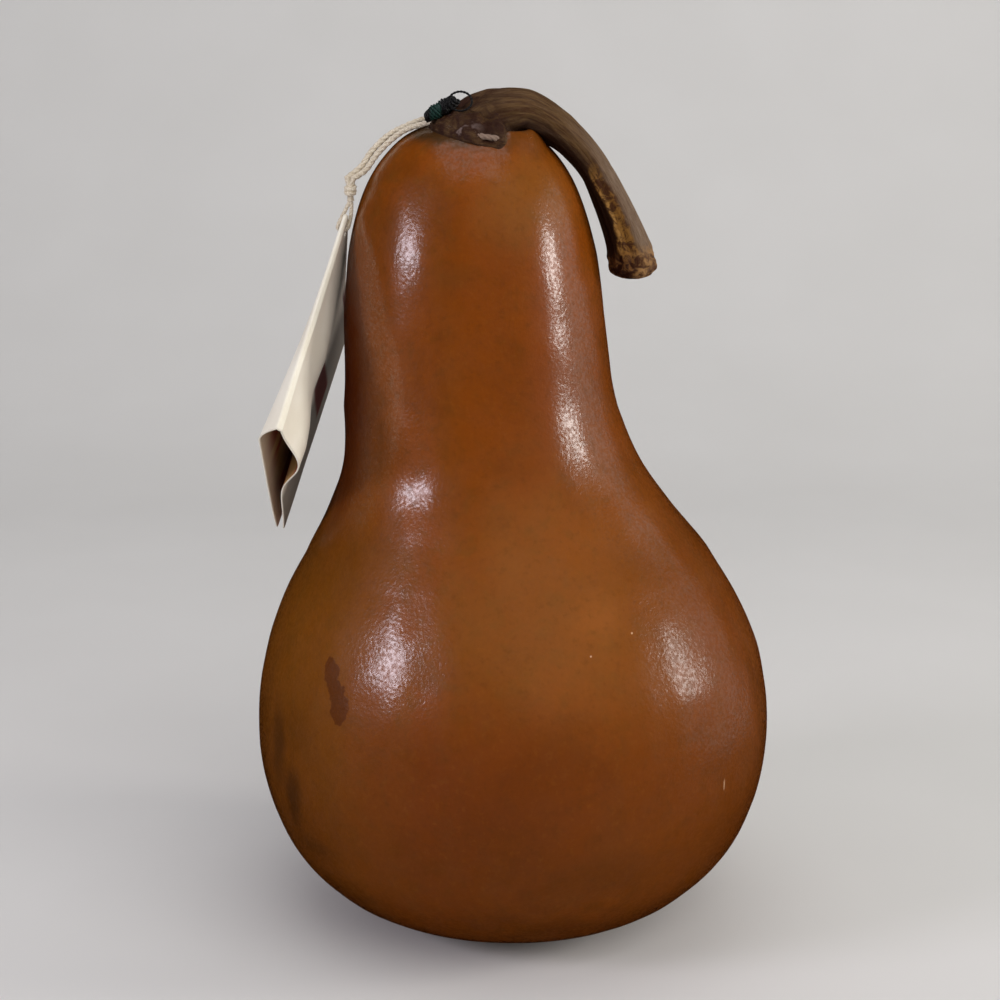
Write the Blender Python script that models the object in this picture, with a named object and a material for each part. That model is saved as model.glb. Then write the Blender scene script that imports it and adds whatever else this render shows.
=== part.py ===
# Dried bottle gourd with its stem, a wound thread and a folded card tag on a string.
# World frame: +Z up, x to the right and -Y towards the viewer, the flat of the base at the origin.
import math

import bmesh
import bpy
from mathutils import Vector

MM = 0.001

# Gourd: flat of the base, then (radius, height) up the outline in mm
BASE_FLAT_RADIUS = 15.0
SHELL_OUTLINE = (
    (BASE_FLAT_RADIUS, 0.0), (25.0, 1.3), (38.0, 5.0), (50.5, 11.8), (61.6, 24.0), (68.0, 41.0),
    (69.3, 57.0), (67.0, 74.0), (61.3, 89.0), (54.0, 102.0), (46.2, 114.0), (39.0, 128.0),
    (35.2, 146.0), (33.8, 166.0), (31.6, 184.0), (27.0, 199.0), (20.0, 209.0), (12.0, 213.8),
    (5.0, 215.3),
)
SHELL_TOP = 215.5
SHOULDER_FROM = 196.0
SHELL_SEGMENTS = 56
SHELL_STEPS = 2
# The neck leans to the left: (height, centre x) in mm
SHELL_LEAN = ((0.0, 0.0), (40.0, 0.5), (76.0, 0.4), (101.0, -0.8), (121.0, -4.3), (141.0, -8.2),
              (166.0, -10.0), (215.5, -10.8))
# Soft corners along the neck, as a share of its radius
NECK_CORNERS = 6
NECK_CORNER_RISE = 0.012
NECK_CORNER_ANGLE = math.radians(-60.0)
NECK_FROM = 118.0
NECK_TO = 204.0
NECK_FADE = 25.0

# Stem: (x, height, angle down from straight up in degrees, radius) along its bend in mm
STEM_Y = -5.0
STEM_SECTIONS = (
    (-7.0, 203.0, 0.0, 12.0), (-7.0, 208.0, 0.0, 11.9), (-6.9, 211.5, 5.0, 11.2),
    (-5.2, 215.0, 36.0, 8.8), (-1.6, 216.5, 66.0, 6.9), (4.1, 217.0, 100.0, 5.6),
    (10.3, 214.1, 122.0, 4.7), (15.5, 209.9, 135.0, 4.1), (21.1, 203.2, 146.0, 3.8),
    (25.7, 194.5, 153.0, 4.3), (29.1, 186.5, 162.0, 4.9), (30.9, 180.6, 171.0, 5.7),
    (31.2, 177.6, 177.0, 5.5), (31.2, 176.0, 180.0, 4.3), (31.2, 175.2, 180.0, 2.6),
)
STEM_SEGMENTS = 24
STEM_STEPS = 3
STEM_RIDGES = 6
STEM_RIDGE_RISE = 0.06
# The dry skirt that hangs over the string along the left and the front of the foot
SKIRT_ANGLE = math.radians(235.0)
SKIRT_HALF_WIDTH = math.radians(85.0)
SKIRT_RISE = 3.0
SKIRT_TOP = 216.0
SKIRT_FADE = 3.5
SKIRT_LEAN = 60.0

# Clearance between pieces that touch
GAP = 0.3

# Wound thread: two ends of its axis in mm
WRAP_START = Vector((-21.9, -11.2, 216.0))
WRAP_END = Vector((-14.0, -12.0, 220.6))
WRAP_RADIUS = 2.1
WRAP_TIP_RADIUS = 1.2
WRAP_TURNS = 7
WRAP_GROOVE = 0.16
WRAP_SEGMENTS = 16
# Loose ring of thread in front of its upper end
RING_CENTRE = Vector((-13.0, -14.6, 220.2))
RING_HALF_WIDTH = 2.9
RING_HALF_HEIGHT = 2.35
RING_THREAD = 0.6
RING_POINTS = 24

# Tag string, doubled: it runs from the knot up over the shoulder, round the foot of the stem and back
STRING_DIAMETER = 1.3
STRING_LIFT = 1.2
STRING_SPACING = 2.2 * STRING_DIAMETER
# Room for the string in the stem's foot, from and to these points of its line
CHANNEL_RADIUS = 1.1
CHANNEL_SKIPS = 8
STRING_TURN_CENTRE = Vector((-7.0, STEM_Y, 0.0))
STRING_TURN_RADIUS = 12.95
STRING_TURN_FROM = 196.0
STRING_TURN_TO = 522.0
STRING_TURN_STEP = 36.0
STRING_NEAR = ((-40.6, -5.9, 200.8), (-37.5, -5.2, 202.9), (-34.7, -4.7, 206.7), (-31.0, -4.6, 210.4),
               (-27.3, -4.9, 212.9), (-22.9, -6.0, 214.4))
STRING_FAR = ((-42.2, -5.4, 200.9), (-38.7, -4.4, 203.8), (-35.9, -3.5, 207.7), (-31.7, -2.9, 211.6),
              (-27.4, -2.6, 213.8), (-22.9, -2.2, 215.5))

# Knot under the doubled string, half sizes in mm
KNOT_CENTRE = Vector((-41.5, -5.7, 197.8))
KNOT_HALF_WIDTH = 2.0
KNOT_HALF_HEIGHT = 2.4
KNOT_TURNS = 3
KNOT_TURN_RISE = 0.06
KNOT_SEGMENTS = 16
KNOT_RINGS = 12

# Folded card: its upper corner, its fold and its short side as vectors in mm
CARD_CORNER = Vector((-42.5, -6.0, 192.0))
CARD_FOLD = Vector((-14.4, -42.0, -49.0))
CARD_SIDE = Vector((-5.8, 48.0, -35.3))
CARD_THICKNESS = 0.4
CARD_HALF_PINCH = 0.45
# Spread of the left leaf at the bottom, and swell of the right leaf: (share along the fold, swell)
CARD_LEFT_SPREAD = 4.6
CARD_LEFT_ROUND = 0.14
CARD_SWELL = ((0.0, 0.0), (0.1, 0.6), (0.23, 1.5), (0.36, 2.4), (0.5, 3.1), (0.64, 2.5), (0.73, 3.2),
              (0.82, 4.5), (0.91, 5.2), (1.0, 5.0))
CARD_SWELL_AT = 0.29
CARD_SWELL_WIDTH = 0.2
# Both leaves turn towards the gourd at their back edge, more at the top than at the bottom
CARD_BACK_TOP = 2.1
CARD_BACK_BOTTOM = 1.3
CARD_BACK_GAP = 0.9
CARD_ALONG_FOLD = 14
CARD_ALONG_SIDE = 11
CARD_HOLE_INSET = 3.4
CARD_HOLE_RADIUS = 1.5
CARD_HOLE_SIDES = 16

# Thread from the knot through the hole in the card
LOOP_DIAMETER = 0.9
LOOP_HALF_WIDTH = 1.5
LOOP_TOP = 194.6


def smooth_line(points, steps):
    """Catmull-Rom line through the points, with `steps` parts between each pair."""
    rows = [Vector(point) for point in points]
    rows = [2.0 * rows[0] - rows[1]] + rows + [2.0 * rows[-1] - rows[-2]]
    line = []
    for index in range(1, len(rows) - 2):
        before, start, end, after = rows[index - 1:index + 3]
        for step in range(steps):
            t = step / steps
            line.append(0.5 * (2.0 * start + (end - before) * t
                               + (2.0 * before - 5.0 * start + 4.0 * end - after) * t * t
                               + (3.0 * start - before - 3.0 * end + after) * t * t * t))
    line.append(rows[-2])
    return line


def even_line(points, spacing):
    """The smooth line through the points, read off at an even spacing."""
    dense = smooth_line(points, 40)
    total = sum((b - a).length for a, b in zip(dense, dense[1:]))
    count = max(2, round(total / spacing))
    line = [dense[0]]
    walked = 0.0
    for a, b in zip(dense, dense[1:]):
        part = (b - a).length
        while len(line) < count and walked + part >= total * len(line) / count:
            line.append(a.lerp(b, (total * len(line) / count - walked) / part))
        walked += part
    line.append(dense[-1])
    return line


def between(rows, key):
    """Value at `key` in rows of (key, value), straight between neighbours."""
    if key <= rows[0][0]:
        return rows[0][1]
    for (low, low_value), (high, high_value) in zip(rows, rows[1:]):
        if key <= high:
            share = (key - low) / (high - low)
            return low_value + (high_value - low_value) * share
    return rows[-1][1]


def ease(share):
    """Smooth rise from 0 to 1."""
    share = min(1.0, max(0.0, share))
    return share * share * (3.0 - 2.0 * share)


def make_material(name, colour, roughness):
    """Plain surface with a colour and a roughness."""
    material = bpy.data.materials.new(name)
    material.use_nodes = True
    surface = material.node_tree.nodes["Principled BSDF"]
    surface.inputs["Base Color"].default_value = (*colour, 1.0)
    surface.inputs["Roughness"].default_value = roughness
    surface.inputs["Metallic"].default_value = 0.0
    return material


def add_mesh(name, mesh_builder, material):
    """Object made of a finished bmesh, facing out and shaded smooth."""
    bmesh.ops.recalc_face_normals(mesh_builder, faces=mesh_builder.faces)
    mesh = bpy.data.meshes.new(name)
    mesh_builder.to_mesh(mesh)
    mesh_builder.free()
    for polygon in mesh.polygons:
        polygon.use_smooth = True
    part = bpy.data.objects.new(name, mesh)
    bpy.context.scene.collection.objects.link(part)
    if material:
        mesh.materials.append(material)
    return part


def loft(rings, end_point=None):
    """Closed body through rings of points in mm: a flat start, and a flat end or a fan to a point."""
    body = bmesh.new()
    rows = [[body.verts.new(Vector(point) * MM) for point in ring] for ring in rings]
    count = len(rows[0])
    for lower, upper in zip(rows, rows[1:]):
        for index in range(count):
            following = (index + 1) % count
            body.faces.new((lower[index], lower[following], upper[following], upper[index]))
    body.faces.new(rows[0])
    if end_point is None:
        body.faces.new(rows[-1])
        return body
    tip = body.verts.new(Vector(end_point) * MM)
    for index in range(count):
        body.faces.new((rows[-1][index], rows[-1][(index + 1) % count], tip))
    return body


def cut_away(part, cutter):
    """Takes the cutter's volume out of the part."""
    cutter.hide_render = True
    cutter.display_type = "WIRE"
    modifier = part.modifiers.new("cut_" + cutter.name, "BOOLEAN")
    modifier.operation = "DIFFERENCE"
    modifier.solver = "EXACT"
    modifier.object = cutter


def shell_rings(grow):
    """Rings of the gourd, `grow` mm larger all round."""
    outline = smooth_line([(radius, height, 0.0) for radius, height in SHELL_OUTLINE], SHELL_STEPS)
    rings = []
    for index, point in enumerate(outline):
        before = outline[max(index - 1, 0)]
        after = outline[min(index + 1, len(outline) - 1)]
        along = (after - before).normalized()
        radius = point.x + grow * along.y
        height = point.y - grow * along.x
        centre = between(SHELL_LEAN, point.y)
        corner_share = ease((point.y - NECK_FROM) / NECK_FADE) * ease((NECK_TO - point.y) / NECK_FADE)
        ring = []
        for segment in range(SHELL_SEGMENTS):
            angle = 2.0 * math.pi * segment / SHELL_SEGMENTS
            corner = math.cos(NECK_CORNERS * (angle - NECK_CORNER_ANGLE))
            reach = radius * (1.0 + NECK_CORNER_RISE * corner_share * corner)
            ring.append((centre + reach * math.cos(angle), reach * math.sin(angle), height))
        rings.append(ring)
    return rings


def shell_height(x, y):
    """Height of the gourd's shoulder above a point, in mm."""
    outline = smooth_line([(radius, height, 0.0) for radius, height in SHELL_OUTLINE], SHELL_STEPS)
    shoulder = [(point.x, point.y) for point in outline if point.y > SHOULDER_FROM]
    shoulder = [(0.0, SHELL_TOP)] + shoulder[::-1]
    return between(shoulder, math.hypot(x - SHELL_LEAN[-1][1], y))


def build_shell(material):
    """The gourd itself, one closed body on its flat base."""
    top = (SHELL_LEAN[-1][1], 0.0, SHELL_TOP)
    return add_mesh("gourd_shell", loft(shell_rings(0.0), end_point=top), material)


def grown_shell():
    """Cutter a gap larger than the gourd."""
    top = (SHELL_LEAN[-1][1], 0.0, SHELL_TOP + GAP)
    return add_mesh("cutter_shell", loft(shell_rings(GAP), end_point=top), None)


def stem_reach(angle, height, lean, radius):
    """Distance from the stem's middle to its skin, with ridges and, on the foot, the skirt."""
    reach = radius * (1.0 + STEM_RIDGE_RISE * math.cos(STEM_RIDGES * angle))
    turn = math.remainder(angle - SKIRT_ANGLE, 2.0 * math.pi)
    if abs(turn) < SKIRT_HALF_WIDTH and lean < SKIRT_LEAN:
        around = math.cos(turn / SKIRT_HALF_WIDTH * math.pi / 2.0) ** 0.6
        reach += SKIRT_RISE * around * ease((SKIRT_TOP - height) / SKIRT_FADE)
    return reach


def stem_sections():
    """Sections of the stem, smooth between the named ones."""
    places = smooth_line([(x, height, 0.0) for x, height, lean, radius in STEM_SECTIONS], STEM_STEPS)
    shapes = smooth_line([(lean, radius, 0.0) for x, height, lean, radius in STEM_SECTIONS], STEM_STEPS)
    return [(place.x, place.y, shape.x, shape.y) for place, shape in zip(places, shapes)]


def build_stem(material):
    """The bent stem: wide foot, thin middle and swollen end."""
    rings = []
    for x, height, lean, radius in stem_sections():
        tilt = math.radians(lean)
        across = Vector((math.cos(tilt), 0.0, -math.sin(tilt)))
        ring = []
        for segment in range(STEM_SEGMENTS):
            angle = 2.0 * math.pi * segment / STEM_SEGMENTS
            reach = stem_reach(angle, height, lean, radius)
            middle = Vector((x, STEM_Y, height))
            ring.append(middle + across * reach * math.cos(angle)
                        + Vector((0.0, reach * math.sin(angle), 0.0)))
        rings.append(ring)
    return add_mesh("stem", loft(rings), material)


def build_wrap(material):
    """Short wound bundle of thread, grooved by its turns."""
    axis = WRAP_END - WRAP_START
    turn = axis.to_track_quat("Z", "Y").to_matrix()
    rings = []
    steps = WRAP_TURNS * 4
    for step in range(steps + 1):
        share = step / steps
        swell = math.sin(math.pi * min(1.0, 0.12 + 0.8 * share)) ** 0.6
        radius = WRAP_TIP_RADIUS + (WRAP_RADIUS - WRAP_TIP_RADIUS) * swell
        radius -= WRAP_GROOVE * (0.5 + 0.5 * math.cos(2.0 * math.pi * WRAP_TURNS * share))
        ring = []
        for side in range(WRAP_SEGMENTS):
            angle = 2.0 * math.pi * side / WRAP_SEGMENTS
            rim = Vector((radius * math.cos(angle), radius * math.sin(angle), 0.0))
            ring.append(WRAP_START + axis * share + turn @ rim)
        rings.append(ring)
    return add_mesh("thread_wrap", loft(rings), material)


def add_cord(name, line, diameter, material, closed=False):
    """Round cord along a line of points in mm."""
    curve = bpy.data.curves.new(name, "CURVE")
    curve.dimensions = "3D"
    curve.bevel_depth = diameter / 2.0 * MM
    curve.bevel_resolution = 2
    curve.use_fill_caps = not closed
    spline = curve.splines.new("POLY")
    spline.points.add(len(line) - 1)
    for point, place in zip(spline.points, line):
        point.co = (*(place * MM), 1.0)
    spline.use_cyclic_u = closed
    cord = bpy.data.objects.new(name, curve)
    bpy.context.scene.collection.objects.link(cord)
    if material:
        curve.materials.append(material)
    return cord


def build_ring(material):
    """Small closed loop of thread beside the wound bundle."""
    line = []
    for step in range(RING_POINTS):
        angle = 2.0 * math.pi * step / RING_POINTS
        line.append(RING_CENTRE + Vector((RING_HALF_WIDTH * math.cos(angle), 0.0,
                                          RING_HALF_HEIGHT * math.sin(angle))))
    return add_cord("thread_loop", line, RING_THREAD, material, closed=True)


def string_route():
    """Route of the doubled string: near strand up, once round the stem's foot, far strand down."""
    turn = []
    angle = STRING_TURN_FROM
    while angle <= STRING_TURN_TO:
        around = math.radians(angle)
        x = STRING_TURN_CENTRE.x + STRING_TURN_RADIUS * math.cos(around)
        y = STRING_TURN_CENTRE.y + STRING_TURN_RADIUS * math.sin(around)
        turn.append((x, y, shell_height(x, y) + STRING_LIFT))
        angle += STRING_TURN_STEP
    return list(STRING_NEAR) + turn + list(STRING_FAR[::-1])


def build_string(material):
    """The doubled tag string."""
    line = even_line(string_route(), STRING_SPACING)
    return add_cord("tag_string", line, STRING_DIAMETER, material)


def string_channel():
    """Cutter that leaves room for the string under the stem's skirt."""
    line = even_line(string_route(), STRING_SPACING)[CHANNEL_SKIPS:-CHANNEL_SKIPS]
    rings = []
    for index, point in enumerate(line):
        along = (line[min(index + 1, len(line) - 1)] - line[max(index - 1, 0)]).normalized()
        across = along.cross(Vector((0.0, 0.0, 1.0))).normalized()
        up = across.cross(along)
        ring = []
        for side in range(12):
            angle = math.pi * side / 6
            ring.append(point + (across * math.cos(angle) + up * math.sin(angle)) * CHANNEL_RADIUS)
        rings.append(ring)
    return add_mesh("cutter_string", loft(rings), None)


def build_knot(material):
    """Knot with its turns showing as soft rings."""
    rings = []
    for step in range(1, KNOT_RINGS):
        polar = math.pi * step / KNOT_RINGS
        swell = 1.0 + KNOT_TURN_RISE * math.cos(2.0 * KNOT_TURNS * polar)
        radius = KNOT_HALF_WIDTH * math.sin(polar) ** 0.8 * swell
        height = -KNOT_HALF_HEIGHT * math.cos(polar)
        ring = []
        for side in range(KNOT_SEGMENTS):
            angle = 2.0 * math.pi * side / KNOT_SEGMENTS
            ring.append(KNOT_CENTRE + Vector((radius * math.cos(angle), radius * math.sin(angle), height)))
        rings.append(ring)
    return add_mesh("string_knot", loft(rings), material)


def leaf_offset(side, along, across):
    """How far a leaf stands off the card's middle plane, in mm."""
    back = CARD_BACK_TOP + (CARD_BACK_BOTTOM - CARD_BACK_TOP) * along
    if side < 0.0:
        rounded = 1.0 - (1.0 - min(1.0, across / CARD_LEFT_ROUND)) ** 1.6
        spread = CARD_LEFT_SPREAD * along ** 1.5 * rounded * (1.0 - across) ** 0.8
        back -= CARD_BACK_GAP * (1.0 + along)
        return -CARD_HALF_PINCH - spread + (back + CARD_HALF_PINCH) * ease((across - 0.5) / 0.5)
    swell = between(CARD_SWELL, along) * math.exp(-((across - CARD_SWELL_AT) / CARD_SWELL_WIDTH) ** 2)
    return CARD_HALF_PINCH + swell + (back - CARD_HALF_PINCH) * ease((across - 0.5) / 0.4)


def card_section(along):
    """Middle line of the folded card at one place along its fold, as (across, stand-off) pairs."""
    shares = [(step / CARD_ALONG_SIDE) ** 1.6 for step in range(1, CARD_ALONG_SIDE + 1)]
    left = [(share, leaf_offset(-1.0, along, share)) for share in shares]
    right = [(share, leaf_offset(1.0, along, share)) for share in shares]
    fold = [(0.0, -CARD_HALF_PINCH), (-CARD_HALF_PINCH / CARD_SIDE.length, 0.0), (0.0, CARD_HALF_PINCH)]
    return left[::-1] + fold + right


def build_card(material):
    """Folded blank card, pinched at the top and open at the bottom, with a hole for the thread."""
    out = CARD_FOLD.cross(CARD_SIDE).normalized()
    side_unit = CARD_SIDE.normalized()
    body = bmesh.new()
    outer = []
    inner = []
    for station in range(CARD_ALONG_FOLD + 1):
        along = station / CARD_ALONG_FOLD
        origin = CARD_CORNER + CARD_FOLD * along
        flat = [Vector((across * CARD_SIDE.length, offset)) for across, offset in card_section(along)]
        rows = ([], [])
        for index, point in enumerate(flat):
            before = flat[max(index - 1, 0)]
            after = flat[min(index + 1, len(flat) - 1)]
            run = (after - before).normalized()
            normal = Vector((run.y, -run.x))
            for row, sign in zip(rows, (-0.5, 0.5)):
                spot = point + normal * sign * CARD_THICKNESS
                row.append(body.verts.new((origin + side_unit * spot.x + out * spot.y) * MM))
        outer.append(rows[0])
        inner.append(rows[1])
    for sheet in (outer, inner):
        for row, following in zip(sheet, sheet[1:]):
            for index in range(len(row) - 1):
                body.faces.new((row[index], row[index + 1], following[index + 1], following[index]))
    for row in (0, -1):
        for index in range(len(outer[0]) - 1):
            body.faces.new((outer[row][index], outer[row][index + 1], inner[row][index + 1],
                            inner[row][index]))
    for column in (0, -1):
        for row in range(CARD_ALONG_FOLD):
            body.faces.new((outer[row][column], outer[row + 1][column], inner[row + 1][column],
                            inner[row][column]))
    return add_mesh("tag_card", body, material)


def card_hole_centre():
    """Middle of the punched hole, in mm."""
    return CARD_CORNER + (CARD_FOLD.normalized() + CARD_SIDE.normalized()) * CARD_HOLE_INSET


def hole_cutter():
    """Round cutter through both leaves at the upper corner."""
    out = CARD_FOLD.cross(CARD_SIDE).normalized()
    turn = out.to_track_quat("Z", "Y").to_matrix()
    rings = []
    for height in (-4.0, 4.0):
        ring = []
        for side in range(CARD_HOLE_SIDES):
            angle = 2.0 * math.pi * side / CARD_HOLE_SIDES
            rim = Vector((CARD_HOLE_RADIUS * math.cos(angle), CARD_HOLE_RADIUS * math.sin(angle), height))
            ring.append(card_hole_centre() + turn @ rim)
        rings.append(ring)
    return add_mesh("cutter_hole", loft(rings), None)


def build_tag_loop(material):
    """Closed loop of thread from under the knot through the card's hole."""
    low = card_hole_centre()
    high = Vector((KNOT_CENTRE.x, KNOT_CENTRE.y, LOOP_TOP))
    half = Vector((LOOP_HALF_WIDTH, 0.0, 0.0))
    route = [low, low + half + Vector((0.0, 0.0, 0.9)), low.lerp(high, 0.6) + half, high,
             low.lerp(high, 0.6) - half, low - half + Vector((0.0, 0.0, 0.9))]
    line = even_line(route + [low], 1.2 * LOOP_DIAMETER)[:-1]
    return add_cord("tag_loop", line, LOOP_DIAMETER, material, closed=True)


def build_all():
    """Every piece and cutter of the part."""
    for leftover in list(bpy.data.objects):
        bpy.data.objects.remove(leftover, do_unlink=True)
    skin = make_material("gourd_skin", (0.32, 0.105, 0.022), 0.32)
    bark = make_material("stem_bark", (0.12, 0.072, 0.036), 0.8)
    thread = make_material("dark_thread", (0.012, 0.02, 0.016), 0.75)
    cotton = make_material("cotton_string", (0.62, 0.53, 0.4), 0.9)
    card = make_material("cream_card", (0.7, 0.63, 0.49), 0.7)
    build_shell(skin)
    stem = build_stem(bark)
    cut_away(stem, grown_shell())
    cut_away(stem, string_channel())
    build_wrap(thread)
    build_ring(thread)
    build_string(cotton)
    build_knot(cotton)
    build_tag_loop(cotton)
    tag = build_card(card)
    cut_away(tag, hole_cutter())


build_all()
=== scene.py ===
import math
import random

import bmesh
import bpy
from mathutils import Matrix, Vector, noise


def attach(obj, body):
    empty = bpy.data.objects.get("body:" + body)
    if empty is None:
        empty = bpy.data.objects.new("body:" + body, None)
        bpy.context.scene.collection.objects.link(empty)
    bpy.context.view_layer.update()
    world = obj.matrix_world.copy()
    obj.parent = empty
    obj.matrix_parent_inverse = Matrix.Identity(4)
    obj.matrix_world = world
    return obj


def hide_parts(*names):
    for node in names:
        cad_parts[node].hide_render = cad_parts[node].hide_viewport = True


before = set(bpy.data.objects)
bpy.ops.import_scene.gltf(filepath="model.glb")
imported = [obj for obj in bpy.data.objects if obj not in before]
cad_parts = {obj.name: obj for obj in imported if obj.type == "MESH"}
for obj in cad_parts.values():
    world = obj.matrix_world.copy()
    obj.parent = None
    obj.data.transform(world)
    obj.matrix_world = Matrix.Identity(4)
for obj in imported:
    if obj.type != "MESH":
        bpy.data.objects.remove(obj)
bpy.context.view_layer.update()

# Dried bottle gourd with a bent stem, a wound thread and a folded card tag on a string.
# Lengths are in mm in the row frame until they reach a mesh.
MM = 0.001

# Camera at the photo's viewing angle
CAMERA_PLACE = Vector((-0.0031, -0.5, 0.22467))
CAMERA_PITCH = math.radians(12.35)
SENSOR = 36.0
FOCAL_SHARE = 1.905

# Gourd outline as in the part: (radius, height)
SHELL_OUTLINE = (
    (15.0, 0.0), (25.0, 1.3), (38.0, 5.0), (50.5, 11.8), (61.6, 24.0), (68.0, 41.0),
    (69.3, 57.0), (67.0, 74.0), (61.3, 89.0), (54.0, 102.0), (46.2, 114.0), (39.0, 128.0),
    (35.2, 146.0), (33.8, 166.0), (31.6, 184.0), (27.0, 199.0), (20.0, 209.0), (12.0, 213.8),
    (5.0, 215.3),
)
SHELL_TOP = 215.5
SHELL_LEAN = ((0.0, 0.0), (40.0, 0.5), (76.0, 0.4), (101.0, -0.8), (121.0, -4.3), (141.0, -8.2),
              (166.0, -10.0), (215.5, -10.8))
NECK_CORNERS = 6
NECK_CORNER_RISE = 0.012
NECK_CORNER_ANGLE = math.radians(-60.0)
NECK_FROM = 118.0
NECK_TO = 204.0
NECK_FADE = 25.0
SHOULDER_FROM = 196.0
SHELL_SIDES = 256
SHELL_STEPS = 16

# Stem as in the part: (x, height, angle down from straight up, radius)
STEM_Y = -5.0
STEM_SECTIONS = (
    (-7.0, 203.0, 0.0, 12.0), (-7.0, 208.0, 0.0, 11.9), (-6.9, 211.5, 5.0, 11.2),
    (-5.2, 215.0, 36.0, 8.8), (-1.6, 216.5, 66.0, 6.9), (4.1, 217.0, 100.0, 5.6),
    (10.3, 214.1, 122.0, 4.7), (15.5, 209.9, 135.0, 4.1), (21.1, 203.2, 146.0, 3.8),
    (25.7, 194.5, 153.0, 4.3), (29.1, 186.5, 162.0, 4.9), (30.9, 180.6, 171.0, 5.7),
    (31.2, 177.6, 177.0, 5.5), (31.2, 176.0, 180.0, 4.3), (31.2, 175.2, 180.0, 2.6),
)
STEM_SIDES = 128
STEM_STEPS = 22
STEM_RIDGES = 6
STEM_RIDGE_RISE = 0.06
# Dry collar of bark over the string: (distance from the middle of the foot, height above the shoulder)
COLLAR_PROFILE = ((12.5, -0.9), (11.2, 0.2), (9.5, 2.6), (8.6, 4.5), (9.7, 4.5), (11.3, 3.85), (12.7, 3.15),
                  (13.7, 2.2), (14.15, 1.0), (14.3, -0.1), (13.6, -0.9))
COLLAR_MIDDLE = 12.0
COLLAR_OUTER_FROM = 11.0
COLLAR_OUTER_WIDTH = 2.5
COLLAR_FROM = math.radians(166.0)
COLLAR_TO = math.radians(309.0)
COLLAR_TAPER = 0.13
COLLAR_STEPS = 130
# Crack in the collar where the string shows
CRACK_ANGLE = math.radians(275.0)
CRACK_HALF_WIDTH = math.radians(9.0)
CRACK_DEPTH = 1.25
# Swell of the shoulder's skin over the string, to the right of the collar
SWELL_RISE = 2.95
SWELL_WIDTH = 2.4
SWELL_FROM = math.radians(284.0)
SWELL_TO = math.radians(366.0)
SWELL_FADE = math.radians(16.0)

# Tag string as in the part
STRING_DIAMETER = 1.3
STRING_FLUFF = 0.15
STRING_LIFT = 1.2
STRING_TURN_RADIUS = 12.95
STRING_TURN_CENTRE = Vector((-7.0, STEM_Y, 0.0))
STRING_NEAR = ((-40.6, -5.9, 200.8), (-37.5, -5.2, 202.9), (-34.7, -4.7, 206.7), (-31.0, -4.6, 210.4),
               (-27.3, -4.9, 212.9), (-22.9, -6.0, 214.4))
STRING_FAR = ((-42.2, -5.4, 200.9), (-38.7, -4.4, 203.8), (-35.9, -3.5, 207.7), (-31.7, -2.9, 211.6),
              (-27.4, -2.6, 213.8), (-22.9, -2.2, 215.5))
KNOT_CENTRE = Vector((-41.5, -5.7, 197.8))

# Twisted plies, as shares of the rope's diameter
PLY_OFFSET = 0.2
PLY_RADIUS = 0.35

# Wound thread and its ring
WRAP_START = Vector((-21.9, -11.2, 216.0))
WRAP_END = Vector((-14.0, -12.0, 220.6))
WRAP_RADIUS = 2.1
RING_CENTRE = Vector((-13.0, -14.6, 220.2))
RING_HALF_WIDTH = 2.9
RING_HALF_HEIGHT = 2.35

# Folded card as in the part
CARD_CORNER = Vector((-42.5, -6.0, 192.0))
CARD_FOLD = Vector((-14.4, -42.0, -49.0))
CARD_SIDE = Vector((-5.8, 48.0, -35.3))
CARD_THICKNESS = 0.4
CARD_HALF_PINCH = 0.45
CARD_LEFT_SPREAD = 4.6
CARD_LEFT_ROUND = 0.14
CARD_SWELL = ((0.0, 0.0), (0.1, 0.6), (0.23, 1.5), (0.36, 2.4), (0.5, 3.1), (0.64, 2.5), (0.73, 3.2),
              (0.82, 4.5), (0.91, 5.2), (1.0, 5.0))
CARD_SWELL_AT = 0.29
CARD_SWELL_WIDTH = 0.2
CARD_BACK_TOP = 2.1
CARD_BACK_BOTTOM = 1.3
CARD_BACK_GAP = 0.9
CARD_HOLE_INSET = 3.4
CARD_HOLE_RADIUS = 1.5


def smooth_line(points, steps):
    """Catmull-Rom line through the points, with `steps` parts between each pair."""
    rows = [Vector(point) for point in points]
    rows = [2.0 * rows[0] - rows[1]] + rows + [2.0 * rows[-1] - rows[-2]]
    line = []
    for index in range(1, len(rows) - 2):
        before, start, end, after = rows[index - 1:index + 3]
        for step in range(steps):
            t = step / steps
            line.append(0.5 * (2.0 * start + (end - before) * t
                               + (2.0 * before - 5.0 * start + 4.0 * end - after) * t * t
                               + (3.0 * start - before - 3.0 * end + after) * t * t * t))
    line.append(rows[-2])
    return line


def even_line(points, spacing):
    """The smooth line through the points, read off at an even spacing."""
    dense = smooth_line(points, 40)
    total = sum((b - a).length for a, b in zip(dense, dense[1:]))
    count = max(2, round(total / spacing))
    line = [dense[0]]
    walked = 0.0
    for a, b in zip(dense, dense[1:]):
        part = (b - a).length
        while len(line) < count and walked + part >= total * len(line) / count:
            line.append(a.lerp(b, (total * len(line) / count - walked) / part))
        walked += part
    line.append(dense[-1])
    return line


def length_of(line):
    """Length along the points of a line."""
    return sum((b - a).length for a, b in zip(line, line[1:]))


def between(rows, key):
    """Value at `key` in rows of (key, value), straight between neighbours."""
    if key <= rows[0][0]:
        return rows[0][1]
    for (low, low_value), (high, high_value) in zip(rows, rows[1:]):
        if key <= high:
            return low_value + (high_value - low_value) * (key - low) / (high - low)
    return rows[-1][1]


def ease(share):
    """Smooth rise from 0 to 1."""
    share = min(1.0, max(0.0, share))
    return share * share * (3.0 - 2.0 * share)


def waves(place, size, seed=0.0):
    """Smooth noise from -1 to 1 with features of `size` mm."""
    return noise.noise(place / size + Vector((seed, seed * 1.7, seed * 0.3)))


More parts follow.
